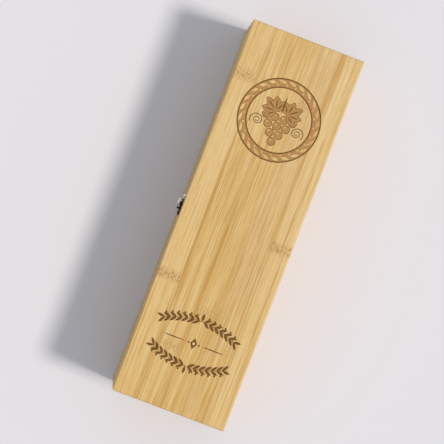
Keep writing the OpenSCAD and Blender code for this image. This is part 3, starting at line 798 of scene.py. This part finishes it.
# %% [markdown]
# ## The lid plate
# The lid plate is one stamping too. Two tabs at its lower edge are rolled into knuckles, and
# the gap between them takes the flap's knuckle. The grid runs down from the top edge. Above the
# pin's height the sheet is flat. Below it, the tabs go round the pin at the same distance down
# the sheet that the wings at their sides go straight down.

# %% Grid of the lid plate
plate_high = limits("clasp_lid_plate")[1]
crown = plate_high[2] - pin_z
wing_end = crown + 1.6
rolled_end = crown + roll * np.radians(280.0)
tab_inner = 2.65
tab_outer = 5.25
top_rows = [0, 0.06, 0.2, 0.5, 0.9, 1.4, 1.8, 3.0, 5.0, crown - 2.0]
wing_rows = np.linspace(crown - 1.0, wing_end, 14)
rolled_rows = np.linspace(wing_end, rolled_end, 26)[1:]
down = np.concatenate([top_rows, wing_rows, rolled_rows])[:, None]
half_row = np.array([tab_inner, 3.3, 3.95, 4.6, tab_outer, tab_outer + 0.2, 6.5, 8.0, 9.3, 10.1,
                     plate_high[0]])
across = np.concatenate([-half_row[::-1], half_row])[None, :]
print("the lid plate's grid is", down.size, "by", across.size)

# %% [markdown]
# ## Rolling the tabs
# A point of a tab goes straight down as far as the pin's height, and from there round the pin,
# from its back: the angle is the way past that height, divided by the roll's radius. A point of
# a wing only goes down, and its place across is drawn in near the corners, so that they are
# round. The squares between the two tabs, between a tab and its wing, and under the wings are
# left out.

# %% Lid plate
to_edge = np.minimum(down, np.maximum(wing_end - down, 0.0))
beside = (rounded(plate_high[0], corner, to_edge) - tab_outer) / (plate_high[0] - tab_outer)
drawn_in = np.sign(across) * (tab_outer + (abs(across) - tab_outer) * beside)
tabs = abs(across) <= tab_outer
turn = np.pi + np.maximum(down - crown, 0.0) / roll
x = np.where(tabs, across, drawn_in)
out = np.where(tabs, roll * np.cos(turn), back)
up = np.where(tabs & (down > crown), roll * np.sin(turn), crown - down)
points = about_pin(x, out, up)
middle = (down[1:] + down[:-1]) / 2
left, right = across[:, :-1], across[:, 1:]
centre = abs(left + right) / 2
gap = (left < 0) & (right > 0) & (middle > crown - 2.0)
slit = (abs(centre - tab_outer - 0.1) < 0.05) & (middle > crown - 1.0)
past_wing = (centre > tab_outer) & (middle > wing_end)
faces = sheet_faces(down.size, across.size, ~(gap | slit | past_wing))
lid_plate = new_piece("lid_plate_pressed", "lid", "clasp_lid_plate", points, faces,
                      clasp_finish)
thicken(lid_plate, sheet, rim)

# %% [markdown]
# ## The catch plate
# The flap snaps over a hump, which is pressed out of the plate from behind. So the plate is a
# grid in a plane, and the hump is a height over it: the arch of a circle seen from the end,
# let down smoothly at both of its ends. The circle's middle lies a little below the plate, so
# that the hump is lower than its radius.

# %% Grid of the catch plate
catch_low, catch_high = limits("clasp_catch_plate")
catch_z = (catch_low[2] + catch_high[2]) / 2
half_tall = (catch_high[2] - catch_low[2]) / 2
edge = np.array([0, 0.06, 0.2, 0.5, 0.9, 1.4, 1.8, 3.0])
inner = np.linspace(3.6, 2 * half_tall - 3.6, 21)
from_low = np.concatenate([edge, inner, (2 * half_tall - edge)[::-1]])
up = (from_low - half_tall)[:, None]
outer = np.array([3, 5, 7.5, 9.5, 10.5])
across = np.concatenate([-outer[::-1], np.linspace(-2.5, 2.5, 27), outer])[None, :]
print("the catch plate's grid is", up.size, "by", across.size)

# %% Catch plate
hump_radius = 1.5
hump_sunk = 0.65
hump_half = 2.3
hump_fade = 0.7
to_edge = np.minimum(up + half_tall, half_tall - up)
x = across / outer[-1] * rounded(catch_high[0], corner, to_edge)
arch = np.sqrt(np.clip(hump_radius ** 2 - up ** 2, 0.0, None)) - hump_sunk
ends = np.clip((hump_half - abs(across)) / hump_fade, 0.0, 1.0)
hump = np.clip(arch, 0.0, None) * ends * ends * (3 - 2 * ends)
points = about_pin(x, back + hump, catch_z - pin_z + up)
faces = sheet_faces(up.size, across.size)
catch = new_piece("catch_plate_pressed", "base", "clasp_catch_plate", points, faces,
                  clasp_finish)
thicken(catch, sheet, rim)

# %% [markdown]
# ## Turned pieces
# A nail is round about its own line, so one half of its outline, turned about that line, is
# enough. The outline starts and ends on the line, and there the ring of points shrinks to a
# single point, which closes the shape. The head is a low dome with a rounded rim.

# %% Nails
def lathed(outline, count):
    """Points of a shape turned about the y axis: each (radius, depth) of the outline becomes a
    ring, where x is radius times the cosine and z radius times the sine of the turn."""
    angle = np.linspace(0.0, 2 * np.pi, count + 1)[None, :]
    radius, depth = outline[:, :1], outline[:, 1:]
    x, y, z = np.broadcast_arrays(radius * np.cos(angle), depth, radius * np.sin(angle))
    return np.stack([x, y, z], -1)


def nail_outline(head, rise, shank, length):
    """Half a nail's outline as (radius, depth): a dome of radius head and height rise, a small
    round rim, a shank and a tapered point. The dome is the cap of a ball, whose radius is the
    squares of head and rise together, divided by twice the rise."""
    ball = (head ** 2 + rise ** 2) / (2 * rise)
    swing = np.linspace(0.0, np.arcsin((head - 0.08) / ball), 14)
    dome = np.stack([ball * np.sin(swing), ball - rise - ball * np.cos(swing)], 1)
    rest = [[head, -0.1], [head, -0.03], [head - 0.05, 0.0], [shank, 0.0], [shank, length - 1.0],
            [shank * 0.6, length - 0.4], [0.0, length]]
    return np.concatenate([dome, rest])


def nails(name, body, stands_for):
    """The two nails of a plate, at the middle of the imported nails' height."""
    low, high = limits(stands_for)
    face = pin_y - back - sheet / 2
    head = (high[2] - low[2]) / 2
    shank = 0.65
    outline = nail_outline(head, face - low[1], shank, high[1] - face)
    one = lathed(outline, 40)
    each = sheet_faces(*one.shape[:2])
    middle = (low[2] + high[2]) / 2
    centres = [np.array([side * (high[0] - head), face, middle]) for side in (-1, 1)]
    points = np.concatenate([(one + centre).reshape(-1, 3) for centre in centres])
    faces = np.concatenate([each, each + one[..., 0].size])
    return new_piece(name, body, stands_for, points, faces, nail_finish)


nails("lid_nails_domed", "lid", "clasp_lid_nails")
nails("catch_nails_domed", "base", "clasp_catch_nails")

# %% [markdown]
# ## Hinges and pins
# The hinges are plain zinc-plated steel, let into the back boards. The stamped leaves and the
# turned pins are right as they come. They only need a finish: fine scratches across the leaf from
# rolling the sheet, and cloudy plating. The leaves also get a softer edge, which a Bevel gives
# after Weld has joined the loose corners of the imported mesh.

# %% Hinge steel
light_zinc = srgb("#D6D4CF")
cloudy_zinc = srgb("#B4B2AC")
scratch = srgb("#77746E")
material, wire = start("hinge_zinc")
x, y, z = split(wire, "Object", 1000.0)
place = wire.node("ShaderNodeCombineXYZ", None, {0: x, 1: y, 2: z})
clouds = wire.node("ShaderNodeTexNoise", None, {"Vector": place, "Scale": 0.35, "Detail": 3.0})
scratches = threads(x, z, y, 9.0, 0.12)
colour = blend(clouds.ease(0.35, 0.65), cloudy_zinc, light_zinc)
colour = blend((1 - scratches.ease(0.25, 0.45)) * 0.4, colour, scratch)
rough = 0.3 + 0.16 * clouds + 0.1 * scratches
surface(wire, colour, rough, scratches, 0.00003, metal=1.0)
steel = [n for n in nodes if "hinge" in n] + ["clasp_pin"]
for name in steel:
    dress(name, material)
print("zinc on", ", ".join(steel))


# %% Softer edges
def ease_edges(name, width):
    """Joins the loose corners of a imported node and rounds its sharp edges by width."""
    weld = nodes[name].modifiers.new("join", "WELD")
    weld.merge_threshold = 1e-6
    bevel = nodes[name].modifiers.new("ease", "BEVEL")
    bevel.width = width / 1000
    bevel.segments = 2
    bevel.limit_method = "ANGLE"
    bevel.angle_limit = math.radians(50)
    bevel.harden_normals = True


leaves = [n for n in steel if "leaf" in n]
for name in leaves:
    ease_edges(name, 0.12)
print("softer edges on", ", ".join(leaves))
